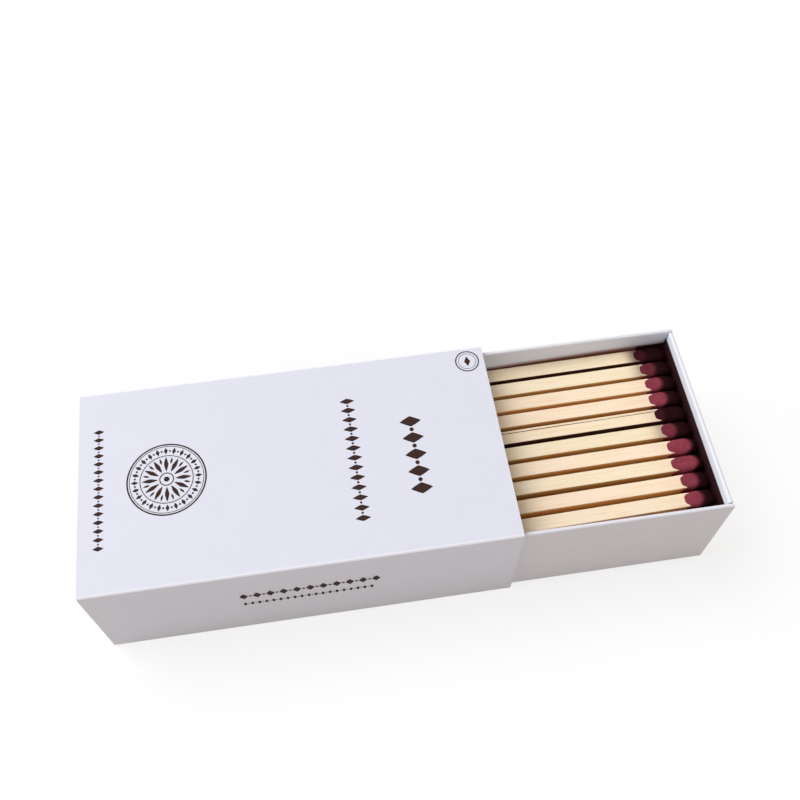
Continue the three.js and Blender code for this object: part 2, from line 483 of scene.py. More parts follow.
@dataclass(frozen=True, kw_only=True)
class HeadShade(BoardLayer):
    """Painted shade on the tray's inner faces, only beside the heads, where the pile's deep gaps
    lie in shade.
    """

    colour: Colour = (0.030, 0.006, 0.008)
    near_x: float
    far_x: float
    half_width: float
    top_z: float
    end_depth: float
    end_lift: float = 2.0 * MM
    near_fade: float = 1.2 * MM
    top_fade: float = 0.4 * MM
    crisp: float = 0.01 * MM

    def share(self, graph: MaterialGraph, place: Socket) -> Socket:
        """How dark each place is: 1 inside a box with soft sides, which is taller at the end wall.

        Args:
            graph: The board's graph.
            place: The piece's own coordinates.

        Returns:
            The share, 0 to 1.
        """
        along = graph.axis(place, "X")
        at_end = graph.math("GREATER_THAN", along, self.far_x - self.end_depth)
        lift = graph.math("MULTIPLY", at_end, self.end_lift)
        height = graph.math("SUBTRACT", graph.axis(place, "Z"), lift)
        share = graph.band(along, self.near_x, self.near_x + self.near_fade)
        for value, limit, fade in ((along, self.far_x, self.crisp),
                                   (graph.away(place, "Y"), self.half_width, self.crisp),
                                   (height, self.top_z, self.top_fade)):
            share = graph.math("MULTIPLY", share, graph.below(value, limit - fade, limit))
        return share


@dataclass(frozen=True, kw_only=True)
class CardFinish:
    """Smooth white board: faint cloudiness, a fibre relief, greyer raw edges and its layers."""

    name: str
    light: Colour
    shade: Colour
    raw_edge: Colour = (0.56, 0.54, 0.53)
    roughness: float
    half_length: float
    middle_x: float = 0.0
    fibre_size: float = 0.12 * MM
    fibre_depth: float = 0.006 * MM
    fibre_stretch: float = 0.35
    cloud_size: float = 9 * MM
    cloud_depth: float = 0.05 * MM
    cloud_relief: float = 0.35
    cloud_gloss: float = 0.12
    edge_reach: float = 0.02 * MM
    specular: float = 0.35
    layers: tuple[BoardLayer, ...] = ()

    def material(self) -> Material:
        """Builds the finish.

        Returns:
            The material.
        """
        graph = MaterialGraph(self.name)
        place = graph.object_coordinates()
        cloud = graph.noise(place, 1 / self.cloud_size, 4.0)
        strands = graph.object_coordinates((self.fibre_stretch, 1.0, 1.0))
        fibre = graph.noise(strands, 1 / self.fibre_size, 3.0, 0.7)
        flecks = graph.ramp(fibre, [(0.25, (0.965, 0.963, 0.965)), (0.5, WHITE)])
        board = graph.times(graph.ramp(cloud, [(0.3, self.shade), (0.7, self.light)]), flecks)
        board = graph.mix(self.torn(graph, place, fibre), board, self.raw_edge)
        for layer in self.layers:
            tint = layer.tint(graph, place, flecks)
            board = graph.mix(layer.share(graph, place), board, tint)
        graph.drive("Base Color", board)
        gloss = graph.math("MULTIPLY", cloud, self.cloud_gloss)
        gloss = graph.math("ADD", gloss, self.roughness - self.cloud_gloss / 2)
        graph.drive("Roughness", gloss)
        relief = graph.bump(fibre, self.fibre_depth)
        graph.drive("Normal", graph.bump(cloud, self.cloud_depth, self.cloud_relief, relief))
        graph.hold("Specular IOR Level", self.specular)
        return graph.material

    def torn(self, graph: MaterialGraph, place: Socket, fibre: Socket) -> Socket:
        """How raw each place is: the cut ends of the sheet, broken up by its fibres.

        Args:
            graph: The board's graph.
            place: The piece's own coordinates.
            fibre: The fibres' noise.

        Returns:
            The share, 0 to 1.
        """
        along = graph.away(place, "X", self.middle_x)
        raw = graph.band(along, self.half_length - self.edge_reach,
                         self.half_length - self.edge_reach / 2)
        return graph.math("MULTIPLY", raw, graph.band(fibre, 0.2, 0.6))


@dataclass(frozen=True)
class WoodFinish:
    """Pale raw poplar: smooth sawn tops with long grain, sides painted browner as shade, waxed
    ends.
    """

    name: str = "sawn_poplar"
    early: Colour = (0.905, 0.80, 0.605)
    late: Colour = (0.86, 0.71, 0.48)
    blush: Colour = (1.0, 0.93, 0.95)
    # painted shade: the brown of the sides in the gaps' shade and warm bounce
    side: Colour = (0.86, 0.62, 0.32)
    # painted deep shade, for the darkest front sides and the shade before the heads
    deep: Colour = (0.05, 0.012, 0.008)
    waxed: Colour = (0.95, 0.90, 0.88)
    crack: Colour = (0.10, 0.05, 0.02)
    grain_width: float = 0.5 * MM
    grain_depth: float = 0.02 * MM
    pore_width: float = 0.1 * MM
    pore_depth: float = 0.01 * MM
    stretch: float = 0.012
    roughness: float = 0.62
    specular: float = 0.25
    side_from: Pair = (-0.01, 0.03)
    top_from: Pair = (0.9, 0.97)
    crack_at: float = 0.60
    crack_half: float = 0.034
    crack_wander: float = 0.12

    def material(self) -> Material:
        """Builds the finish.

        Returns:
            The material.
        """
        graph = MaterialGraph(self.name)
        tone = graph.attribute("tone")
        place = self.own_place(graph, tone)
        grain = graph.noise(place, 1 / self.grain_width, 3.0, 0.5)
        pores = graph.noise(place, 1 / self.pore_width, 2.0, 0.6)
        wood = graph.ramp(grain, [(0.30, self.late), (0.55, self.early)])
        wood = graph.mix(graph.attribute("blush"), wood, graph.times(wood, self.blush))
        lightness = graph.ramp(tone, [(0.0, (0.95, 0.93, 0.86)), (1.0, (1.03, 1.03, 1.0))])
        wood = graph.times(wood, lightness)
        wood = graph.times(wood, graph.ramp(pores, [(0.3, (0.95, 0.93, 0.90)), (0.45, WHITE)]))
        wood = self.shade_sides(graph, wood)
        wood = self.long_crack(graph, wood, grain)
        wood = graph.mix(graph.attribute("waxed"), wood, graph.times(wood, self.waxed))
        wood = graph.mix(graph.attribute("shade"), wood, self.deep)
        graph.drive("Base Color", wood)
        graph.hold("Roughness", self.roughness)
        graph.hold("Specular IOR Level", self.specular)
        fine = graph.bump(pores, self.pore_depth)
        graph.drive("Normal", graph.bump(grain, self.grain_depth, 0.5, fine))
        return graph.material

    def own_place(self, graph: MaterialGraph, tone: Socket) -> Socket:
        """Coordinates stretched along the grain and shifted by each stick's tone.

        Args:
            graph: The wood's graph.
            tone: The stick's tone.

        Returns:
            The coordinates.
        """
        shifted = graph.add("ShaderNodeVectorMath")
        shifted.operation = "ADD"
        graph.link(graph.object_coordinates((self.stretch, 1.0, 1.0)), shifted.inputs[0])
        offset = graph.add("ShaderNodeCombineXYZ")
        graph.link(tone, offset.inputs["X"])
        graph.link(offset.outputs["Vector"], shifted.inputs[1])
        return shifted.outputs["Vector"]

    def shade_sides(self, graph: MaterialGraph, wood: Socket) -> Socket:
        """Paints shade on the sides: browns them where the section reaches further across than up.

        Some sticks' front sides are painted darker still, as deep shade.

        Args:
            graph: The wood's graph.
            wood: The wood so far.

        Returns:
            The wood with its sides.
        """
        across = graph.attribute("across")
        upward = graph.math("ABSOLUTE", graph.attribute("upward"))
        wider = graph.math("SUBTRACT", graph.math("ABSOLUTE", across), upward)
        front = graph.math("LESS_THAN", across, 0.0)
        darker = graph.math("MULTIPLY", graph.attribute("side_shadow"), front)
        side = graph.times(wood, graph.mix(darker, self.side, self.deep))
        return graph.mix(graph.band(wider, *self.side_from), wood, side)

    def long_crack(self, graph: MaterialGraph, wood: Socket, grain: Socket) -> Socket:
        """Draws a check along the top: a line at crack_at of the half-width.

        The line wanders with the grain and shows only on a cracked stick's upper face.

        Args:
            graph: The wood's graph.
            wood: The wood so far.
            grain: The grain's noise.

        Returns:
            The wood with its check.
        """
        wander = graph.math("MULTIPLY", graph.math("SUBTRACT", grain, 0.5), self.crack_wander)
        place = graph.math("ADD", graph.attribute("across"), wander)
        near = graph.math("ABSOLUTE", graph.math("SUBTRACT", place, self.crack_at))
        line = graph.below(near, self.crack_half, 2 * self.crack_half)
        on_top = graph.band(graph.attribute("upward"), *self.top_from)
        shown = graph.math("MULTIPLY", on_top, graph.attribute("cracked"))
        return graph.mix(graph.math("MULTIPLY", line, shown), wood, self.crack)


@dataclass(frozen=True)
class CompoundFinish:
    """Dull burgundy match compound: fine grains of lighter and darker stuff in a dry film."""

    name: str = "dipped_compound"
    base: Colour = (0.262, 0.046, 0.068)
    dark: Colour = (0.13, 0.022, 0.034)
    pale: Colour = (0.40, 0.12, 0.15)
    deep: Colour = (0.05, 0.02, 0.03)
    patch: Colour = (0.78, 0.72, 0.76)
    grain_size: float = 0.16 * MM
    grain_depth: float = 0.05 * MM
    patch_scale: float = 750.0
    roughness: float = 0.72
    specular: float = 0.06

    def material(self) -> Material:
        """Builds the finish.

        Returns:
            The material.
        """
        graph = MaterialGraph(self.name)
        place = graph.object_coordinates()
        grain = graph.noise(place, 1 / self.grain_size, 3.0, 0.65)
        patches = graph.noise(place, self.patch_scale, 2.0)
        colour = graph.ramp(grain, [(0.22, self.dark), (0.46, self.base), (0.66, self.base),
                                    (0.8, self.pale)])
        colour = graph.mix(graph.band(patches, 0.35, 0.75), colour, self.patch, "MULTIPLY")
        # The tone attribute darkens each head toward deep: its own tone, and painted shade toward
        # the tip and on the lower layer.
        tone = graph.ramp(graph.attribute("tone"), [(0.0, self.deep), (1.0, WHITE)])
        graph.drive("Base Color", graph.times(colour, tone))
        graph.hold("Roughness", self.roughness)
        graph.hold("Specular IOR Level", self.specular)
        graph.drive("Normal", graph.bump(grain, self.grain_depth, 0.8))
        return graph.material


@dataclass(frozen=True)
class PackedFinish:
    """Rows of whole matches in one solid: wood that turns to compound where the heads start."""

    wood: WoodFinish
    compound: CompoundFinish
    head_start: float
    name: str = "poplar_and_compound"
    grain_depth: float = 0.03 * MM
    change: float = 0.05 * MM

    def material(self) -> Material:
        """Builds the finish.

        Returns:
            The material.
        """
        graph = MaterialGraph(self.name)
        place = graph.object_coordinates()
        long_place = graph.object_coordinates((self.wood.stretch, 1.0, 1.0))
        grain = graph.noise(long_place, 1 / self.wood.grain_width, 4.0)
        speck = graph.noise(place, 1 / self.compound.grain_size, 3.0)
        wood = graph.ramp(grain, [(0.28, self.wood.late), (0.5, self.wood.early)])
        red = graph.ramp(speck, [(0.25, self.compound.dark), (0.5, self.compound.base)])
        along = graph.axis(place, "X")
        dipped = graph.band(along, self.head_start, self.head_start + self.change)
        graph.drive("Base Color", graph.mix(dipped, wood, red))
        graph.hold("Roughness", self.compound.roughness)
        graph.drive("Normal", graph.bump(grain, self.grain_depth, 0.6))
        return graph.material


@dataclass(frozen=True)
class StrikerFinish:
    """Dull red-brown striking coat: sandy grit, printed as a fine screen of dots."""

    name: str = "striking_coat"
    base: Colour = (0.085, 0.036, 0.028)
    worn: Colour = (0.16, 0.085, 0.07)
    gap: Colour = (0.145, 0.083, 0.068)
    rub: Colour = (1.25, 1.2, 1.2)
    rub_scale: float = 90.0
    grit_size: float = 0.14 * MM
    grit_depth: float = 0.06 * MM
    dot_pitch: float = 0.9 * MM
    dot_depth: float = 0.04 * MM
    dot_from: Pair = (-0.35, -0.05)
    roughness: float = 0.9

    def material(self) -> Material:
        """Builds the finish.

        Returns:
            The material.
        """
        graph = MaterialGraph(self.name)
        place = graph.object_coordinates()
        grit = graph.noise(place, 1 / self.grit_size, 4.0, 0.75)
        patches = graph.noise(graph.object_coordinates((0.3, 1.0, 1.0)), self.rub_scale, 3.0)
        dots = self.dots(graph, place)
        coat = graph.ramp(grit, [(0.3, self.base), (0.75, self.worn)])
        coat = graph.mix(dots, self.gap, coat)
        rubbed = graph.times(coat, self.rub)
        graph.drive("Base Color", graph.mix(graph.band(patches, 0.35, 0.8), coat, rubbed))
        graph.hold("Roughness", self.roughness)
        screen = graph.bump(dots, self.dot_depth)
        graph.drive("Normal", graph.bump(grit, self.grit_depth, 1.0, screen))
        return graph.material

    def dots(self, graph: MaterialGraph, place: Socket) -> Socket:
        """A staggered screen of dots: a cosine along times one up passes a level inside a dot.

        Args:
            graph: The coat's graph.
            place: The piece's own coordinates.

        Returns:
            1 on a dot and 0 between dots.
        """
        pitch = math.pi / self.dot_pitch
        waves = [graph.math("COSINE", graph.math("MULTIPLY", graph.axis(place, name), pitch))
                 for name in ("X", "Z")]
        return graph.band(graph.math("MULTIPLY", *waves), *self.dot_from)


@dataclass(frozen=True)
class InkFinish:
    """Dark brown printing ink, a little thinner where the board's fibres stand up."""

    name: str = "brown_ink"
    full: Colour = (0.030, 0.013, 0.010)
    thin: Colour = (0.055, 0.027, 0.022)
    fibre_scale: float = 7000.0
    roughness: float = 0.7
    specular: float = 0.12

    def material(self) -> Material:
        """Builds the finish.

        Returns:
            The material.
        """
        graph = MaterialGraph(self.name)
        fibre = graph.noise(graph.object_coordinates(), self.fibre_scale, 3.0, 0.7)
        graph.drive("Base Color", graph.ramp(fibre, [(0.35, self.full), (0.75, self.thin)]))
        graph.hold("Roughness", self.roughness)
        graph.hold("Specular IOR Level", self.specular)
        return graph.material


def mesh_object(name: str, points: np.ndarray, faces: np.ndarray | list,
                smooth: bool = True) -> Piece:
    """A mesh piece at the origin, with its place in its points.

    Args:
        name: The piece's name.
        points: Its points, one row each, in metres.
        faces: Its faces, as rows or lists of point numbers.
        smooth: Whether it is shaded smooth.

    Returns:
        The piece.
    """
    mesh = bpy.data.meshes.new(name)
    listed = faces.tolist() if isinstance(faces, np.ndarray) else faces
    mesh.from_pydata(points.reshape(-1, 3).tolist(), [], listed)
    mesh.validate()
    if smooth:
        mesh.polygons.foreach_set("use_smooth", np.ones(len(mesh.polygons), dtype=bool))
    mesh.update()
    piece = bpy.data.objects.new(name, mesh)
    bpy.context.collection.objects.link(piece)
    return piece


def face_outwards(piece: Piece) -> None:
    """Turns every face of a closed piece to point out."""
    shell = bmesh.new()
    shell.from_mesh(piece.data)
    bmesh.ops.recalc_face_normals(shell, faces=shell.faces)
    shell.to_mesh(piece.data)
    shell.free()


def carry(piece: Piece, name: str, values: np.ndarray | float) -> None:
    """Writes one number for each point of a piece.

    Args:
        piece: The piece.
        name: The attribute's name.
        values: The numbers, or one for all.
    """
    mesh = piece.data
    flat = np.asarray(values, dtype=np.float32).ravel()
    numbers = np.broadcast_to(flat, (len(mesh.vertices),))
    attribute = mesh.attributes.new(name, "FLOAT", "POINT")
    attribute.data.foreach_set("value", np.ascontiguousarray(numbers))


def tube_faces(rings: int, sides: int, offset: int = 0) -> np.ndarray:
    """Quads between rings of points, where each ring closes on itself.

    Args:
        rings: How many rings there are.
        sides: How many points each has.
        offset: The number of the first point.

    Returns:
        One row of four point numbers for each quad.
    """
    ring, side = np.meshgrid(np.arange(rings - 1), np.arange(sides), indexing="ij")
    here = ring * sides + side
    beside = ring * sides + (side + 1) % sides
    quads = np.stack([here, beside, beside + sides, here + sides], axis=-1)
    return offset + quads.reshape(-1, 4)


def rounded_square(angle: np.ndarray, squareness: float) -> tuple[np.ndarray, np.ndarray]:
    """A superellipse of half-width 1: sine and cosine, each raised to 2 / squareness, sign kept.

    Args:
        angle: Where on the outline, in radians.
        squareness: 2 for a circle, more for a squarer outline.

    Returns:
        The two coordinates.
    """
    power = 2 / squareness
    cosine, sine = np.cos(angle), np.sin(angle)
    return np.sign(cosine) * np.abs(cosine) ** power, np.sign(sine) * np.abs(sine) ** power


def soft_square(per_side: int, corner: float) -> tuple[np.ndarray, np.ndarray]:
    """A square outline of half-width 1 with rounded corners.

    Points lie evenly on a true square. Each is drawn in toward its nearest point on an inner square
    of half-width 1 - corner until it is corner away from it, which rounds only the corners.

    Args:
        per_side: How many points each side has.
        corner: The corner radius.

    Returns:
        The two coordinates.
    """
    run = np.linspace(-1, 1, per_side, endpoint=False)
    one = np.ones(per_side)
    square = np.stack([np.concatenate([one, -run, -one, run]),
                       np.concatenate([run, one, -run, -one])])
    core = np.clip(square, corner - 1, 1 - corner)
    arm = square - core
    outline = core + corner * arm / np.linalg.norm(arm, axis=0)
    return outline[0], outline[1]


def ripple(share: np.ndarray, angle: np.ndarray, seed: int, waves: int,
           longest: float) -> np.ndarray:
    """Smooth unevenness over a piece, about -1 to 1: a seeded sum of sines in two directions.

    Args:
        share: The place along the piece, 0 to 1.
        angle: The place round it, in radians.
        seed: Which pattern.
        waves: How many sines are added.
        longest: The most waves along the piece.

    Returns:
        The unevenness at each place.
    """
    draw = np.random.default_rng(seed)
    total = np.zeros(np.broadcast(share, angle).shape)
    for _ in range(waves):
        along = draw.uniform(0.5, longest)
        around = draw.integers(1, 5)
        phase, turn = draw.uniform(0, 2 * math.pi, 2)
        wave = np.sin(2 * math.pi * along * share + phase) * np.cos(around * angle + turn)
        total += draw.normal() * wave
    return total / math.sqrt(waves)


def node_points(name: str) -> np.ndarray:
    """A CAD node's points at rest, one row each."""
    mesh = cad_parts[name].data
    points = np.empty(len(mesh.vertices) * 3)
    mesh.vertices.foreach_get("co", points)
    return points.reshape(-1, 3)


def dress(name: str, material: Material) -> None:
    """Gives a CAD node its finish."""
    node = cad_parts[name]
    node.data.materials.clear()
    node.data.materials.append(material)
    LOG.info("%s keeps its solid and takes %s", name, material.name)


@dataclass
class Mark:
    """A batch of equal printed marks, each a superellipse."""

    centres: np.ndarray
    half_length: float
    half_width: float
    squareness: float = 2.0
    turns: np.ndarray | float = 0.0


@dataclass
class PrintPanel:
    """Ink on one flat panel of the sleeve, as thin plates that stand just clear of the board."""

    name: str
    face: Face
    lift: float = 0.004 * MM
    thickness: float = 0.02 * MM
    outline_steps: int = 28
    ring_steps: int = 96
    points: list[np.ndarray] = field(default_factory=list)
    quads: list[np.ndarray] = field(default_factory=list)
    caps: list[list[int]] = field(default_factory=list)
    count: int = 0

    def place(self, flat: np.ndarray, height: float) -> np.ndarray:
        """Lays flat points on the panel.

        Args:
            flat: Points as (along the sleeve, up the panel), metres in the model's frame.
            height: How far they stand off the board.

        Returns:
            Their places in space.
        """
        low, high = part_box("sleeve")
        along, up = flat[..., 0], flat[..., 1]
        if self.face is Face.TOP:
            return np.stack([along, up, np.full_like(along, high[2] + height)], axis=-1)
        return np.stack([along, np.full_like(along, low[1] - height), up], axis=-1)

    def add_marks(self, mark: Mark) -> None:
        """Adds a batch of marks: an outline for each centre, turned, with a wall and two caps.

        Args:
            mark: The batch.
        """
        steps = self.outline_steps
        angle = np.linspace(0, 2 * math.pi, steps, endpoint=False)
        across, up = rounded_square(angle, mark.squareness)
        batch = (len(mark.centres),)
        turns = np.broadcast_to(np.asarray(mark.turns, dtype=float), batch)[:, None]
        u = mark.half_length * across[None, :]
        v = mark.half_width * up[None, :]
        flat = np.stack([
            mark.centres[:, 0:1] + u * np.cos(turns) - v * np.sin(turns),
            mark.centres[:, 1:2] + u * np.sin(turns) + v * np.cos(turns),
        ], axis=-1)
        low = self.place(flat, self.lift)
        high = self.place(flat, self.lift + self.thickness)
        for index in range(len(mark.centres)):
            start = self.count
            self.points += [low[index], high[index]]
            self.quads.append(tube_faces(2, steps, start))
            self.caps.append(list(range(start + steps - 1, start - 1, -1)))
            self.caps.append(list(range(start + steps, start + 2 * steps)))
            self.count += 2 * steps

    def add_ring(self, centre: Spot, radius: float, width: float) -> None:
        """Adds a flat ring: a four-cornered section carried round a circle.

        Args:
            centre: Its centre on the panel.
            radius: The radius of its middle line.
            width: How wide the line is.
        """
        steps = self.ring_steps
        angle = np.linspace(0, 2 * math.pi, steps, endpoint=False)
        section = [(-0.5, 0.0), (0.5, 0.0), (0.5, 1.0), (-0.5, 1.0)]
        rings = []
        for side, rise in section:
            reach = radius + side * width
            along = centre[0] + reach * np.cos(angle)
            up = centre[1] + reach * np.sin(angle)
            flat = np.stack([along, up], axis=-1)
            rings.append(self.place(flat, self.lift + rise * self.thickness))
        loop = np.stack(rings, axis=1)
        first, second = np.meshgrid(np.arange(steps), np.arange(4), indexing="ij")
        here, ahead = first * 4, (first + 1) % steps * 4
        beside = (second + 1) % 4
        quads = np.stack([here + second, ahead + second, ahead + beside, here + beside], axis=-1)
        self.points.append(loop.reshape(-1, 3))
        self.quads.append(self.count + quads.reshape(-1, 4))
        self.count += steps * 4

    def build(self, material: Material) -> Piece:
        """Makes the printed piece.

        Args:
            material: Its ink.

        Returns:
            The piece, riding on the sleeve.
        """
        points = np.concatenate([batch.reshape(-1, 3) for batch in self.points])
        faces = np.concatenate(self.quads).tolist() + self.caps
        piece = mesh_object(self.name, points, faces, smooth=False)
        face_outwards(piece)
        piece.data.materials.append(material)
        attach(piece, "sleeve")
        LOG.info("%s printed with %d points", self.name, len(points))
        return piece


@dataclass(frozen=True)
class LozengeRow:
    """A printed row of lozenges with dots between them."""

    start: Spot
    end: Spot
    count: int
    long_half: float
    short_half: float
    dot: float
    squareness: float = 1.1

    def print_on(self, panel: PrintPanel) -> None:
        """Adds the row: centres share the way from start to end evenly, with dots halfway.

        Args:
            panel: Where it goes.
        """
        share = np.linspace(0, 1, self.count)[:, None]
        first, last = np.asarray(self.start), np.asarray(self.end)
        centres = first + (last - first) * share
        turn = math.atan2(*(last - first)[::-1])
        panel.add_marks(Mark(centres, self.long_half, self.short_half, self.squareness, turn))
        between = (centres[1:] + centres[:-1]) / 2
        panel.add_marks(Mark(between, self.dot, self.dot, 2.0, turn))


@dataclass(frozen=True)
class PetalCircle:
    """Marks round a centre, each pointing outward, in shares of the ornament's radius.

    Attributes:
        count: How many marks.
        reach: Their distance from the centre.
        length: Half their length.
        width: Half their width.
        squareness: Their outline, 2 for round and 1 for a lozenge.
        phase: How far the circle is turned, in steps between marks.
    """

    count: int
    reach: float
    length: float
    width: float
    squareness: float = 2.0
    phase: float = 0.0

    def print_on(self, panel: PrintPanel, centre: Spot, radius: float) -> None:
        """Adds the marks, each at its number plus the phase, in steps of a full turn / count.

        Args:
            panel: Where they go.
            centre: The ornament's centre.
            radius: The ornament's radius.
        """
        angle = (np.arange(self.count) + self.phase) * 2 * math.pi / self.count
        centres = np.stack([
            centre[0] + self.reach * radius * np.cos(angle),
            centre[1] + self.reach * radius * np.sin(angle),
        ], axis=-1)
        panel.add_marks(Mark(centres, self.length * radius, self.width * radius,
                             self.squareness, angle))


@dataclass
class Sleeve:
    """The folded sleeve, its striking surface and its print."""

    striker: StrikerFinish
    ink: InkFinish
    rosette_at: Spot = (-31.1 * MM, 0.2 * MM)
    rosette_radius: float = 9.8 * MM
    rosette_rings: tuple[Pair, ...] = (
        (0.98, 0.38 * MM), (0.925, 0.16 * MM), (0.66, 0.2 * MM), (0.17, 0.26 * MM))
    petals: tuple[PetalCircle, ...] = (
        PetalCircle(12, 0.42, 0.20, 0.055, 1.25),
        PetalCircle(12, 0.52, 0.09, 0.028, 1.25, 0.5),
        PetalCircle(24, 0.795, 0.095, 0.05, 1.0),
        PetalCircle(24, 0.795, 0.026, 0.026, 2.0, 0.5),
        PetalCircle(1, 0.0, 0.07, 0.07))
    top_rows: tuple[LozengeRow, ...] = (
        LozengeRow((-47.6 * MM, 15.8 * MM), (-47.6 * MM, -15.8 * MM), 15,
                   0.62 * MM, 1.3 * MM, 0.22 * MM),
        LozengeRow((15.2 * MM, 15.6 * MM), (15.2 * MM, -17.2 * MM), 13,
                   0.8 * MM, 1.9 * MM, 0.3 * MM),
        LozengeRow((30.4 * MM, 7.4 * MM), (30.4 * MM, -11.4 * MM), 5,
                   1.5 * MM, 2.7 * MM, 0.55 * MM))
    front_rows: tuple[LozengeRow, ...] = (
        LozengeRow((-16.0 * MM, 22.4 * MM), (16.6 * MM, 22.4 * MM), 11,
                   1.05 * MM, 1.7 * MM, 0.42 * MM),
        LozengeRow((-16.2 * MM, 17.2 * MM), (15.4 * MM, 17.2 * MM), 19,
                   0.5 * MM, 1.1 * MM, 0.2 * MM))
    corner_at: Spot = (48.0 * MM, 23.1 * MM)
    corner_rings: tuple[Pair, ...] = ((3.0 * MM, 0.3 * MM), (2.3 * MM, 0.12 * MM))
    corner_lozenge: Pair = (1.5 * MM, 0.8 * MM)

    def card(self) -> CardFinish:
        """Its board: a cool white coat, with a painted highlight along the folds."""
        low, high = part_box("sleeve")
        folds = FoldHighlight(half_width=-low[1], middle_z=(low[2] + high[2]) / 2,
                         half_height=(high[2] - low[2]) / 2)
        return CardFinish(name="coated_board", light=(0.705, 0.725, 0.805),
                          shade=(0.69, 0.71, 0.79), roughness=0.55,
                          half_length=(high[0] - low[0]) / 2, layers=(folds,))

    def build(self) -> None:
        """Dresses the sleeve and prints its panels."""
        dress("sleeve", self.card().material())
        dress("striker_strip", self.striker.material())
        ink = self.ink.material()
        self.rosette(ink)
        self.top_ornament(ink)
        self.front_ornament(ink)

    def rosette(self, ink: Material) -> None:
        """A plain flower of petals in rings, with a circle of lozenges between them.

        Args:
            ink: Its ink.
        """
        panel = PrintPanel("rosette", Face.TOP)
        for share, width in self.rosette_rings:
            panel.add_ring(self.rosette_at, self.rosette_radius * share, width)
        for circle in self.petals:
            circle.print_on(panel, self.rosette_at, self.rosette_radius)
        panel.build(ink)

    def top_ornament(self, ink: Material) -> None:
        """Three plain rows across the top and a small ringed lozenge in the corner.

        Args:
            ink: Their ink.
        """
        panel = PrintPanel("top_ornament", Face.TOP)
        for row in self.top_rows:
            row.print_on(panel)
        for radius, width in self.corner_rings:
            panel.add_ring(self.corner_at, radius, width)
        panel.add_marks(Mark(np.array([self.corner_at]), *self.corner_lozenge, 1.0, math.pi / 2))
        panel.build(ink)

    def front_ornament(self, ink: Material) -> None:
        """Two plain rows along the front: bold above, fine below.

        Args:
            ink: Their ink.
        """
        panel = PrintPanel("front_ornament", Face.FRONT)
        for row in self.front_rows:
            row.print_on(panel)
        panel.build(ink)


@dataclass
class MatchPlace:
    """Where one loose match lies: its tail, its three directions and how far its parts reach."""

    tail: np.ndarray
    along: np.ndarray
    across: np.ndarray
    up: np.ndarray
    wood_length: float
    head_start: float
    head_end: float
    half_side: float
    half_head: float

    @classmethod
    def of(cls, splint: str, head: str) -> "MatchPlace":
        """Reads a match's place from its two solids.

        Args:
            splint: The splint's node.
            head: The head's node.

        Returns:
            The place.
        """
        points = node_points(splint)
        x = points[:, 0]
        middle = (x.min() + x.max()) / 2
        tail = points[x < middle].mean(axis=0)
        tip = points[x > middle].mean(axis=0)
        along = (tip - tail) / np.linalg.norm(tip - tail)
        up = np.array([-along[2], 0.0, along[0]])
        up /= np.linalg.norm(up)
        across = np.cross(up, along)
        spread = (points - tail) @ across
        head_points = node_points(head) - tail
        reach = head_points @ along
        return cls(tail, along, across, up, float(np.linalg.norm(tip - tail)),
                   float(reach.min()), float(reach.max()), float(spread.max()),
                   float((head_points @ across).max()))

    def put(self, along: np.ndarray, across: np.ndarray, up: np.ndarray) -> np.ndarray:
        """Takes places in the match's own axes into the model's frame.

        Args:
            along: Distance from the tail.
            across: Sideways distance from its axis.
            up: Upward distance from its axis.

        Returns:
            The points.
        """
        return (self.tail + along[..., None] * self.along + across[..., None] * self.across
                + up[..., None] * self.up)


@dataclass
class Tray:
    """The folded tray."""

    wall: float = 1.3 * MM
    shade_start: float = 1 * MM
    shade_drop: float = 0.3 * MM

    def card(self) -> CardFinish:
        """Its board: painted paler inside, a painted highlight on the rim, painted shadow beside
        the matches and painted shade by the heads.
        """
        low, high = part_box("tray")
        middle_x, half_length = (high[0] + low[0]) / 2, (high[0] - low[0]) / 2
        mid_wall = self.wall / 2
        inner = InnerFaces(middle_x=middle_x, half_length=half_length - mid_wall,
                           half_width=high[1] - mid_wall)
        match = MatchPlace.of("top_splint_01", "top_head_01")
        slope = match.along[2] / match.along[0]
        start_z = match.tail[2] + match.half_side - match.tail[0] * slope
        line = StickShadow(inner=inner, wall=self.wall, start_z=start_z, slope=slope)
        heads = [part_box(name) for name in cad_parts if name.startswith("top_head_")]
        head_shade = HeadShade(near_x=min(box[0][0] for box in heads) + self.shade_start,
                        far_x=high[0] - mid_wall, half_width=high[1] - mid_wall,
                        top_z=max(box[1][2] for box in heads) - self.shade_drop,
                        end_depth=mid_wall)
        return CardFinish(name="tray_board", light=(0.72, 0.72, 0.775), shade=(0.70, 0.70, 0.755),
                          roughness=0.6, half_length=half_length, middle_x=middle_x,
                          layers=(inner, line, RimHighlight(top_z=high[2]), head_shade))

    def build(self) -> None:
        """Dresses the tray."""
        dress("tray", self.card().material())


@dataclass(frozen=True)
class StickLook:
    """What tells one stick from the next."""

    seed: int
    tone: float
    blush: float = 0.0
    # how dark its front side is painted as shade
    side_shadow: float = 0.0
    head_shadow: float = 0.0
    cracked: bool = False


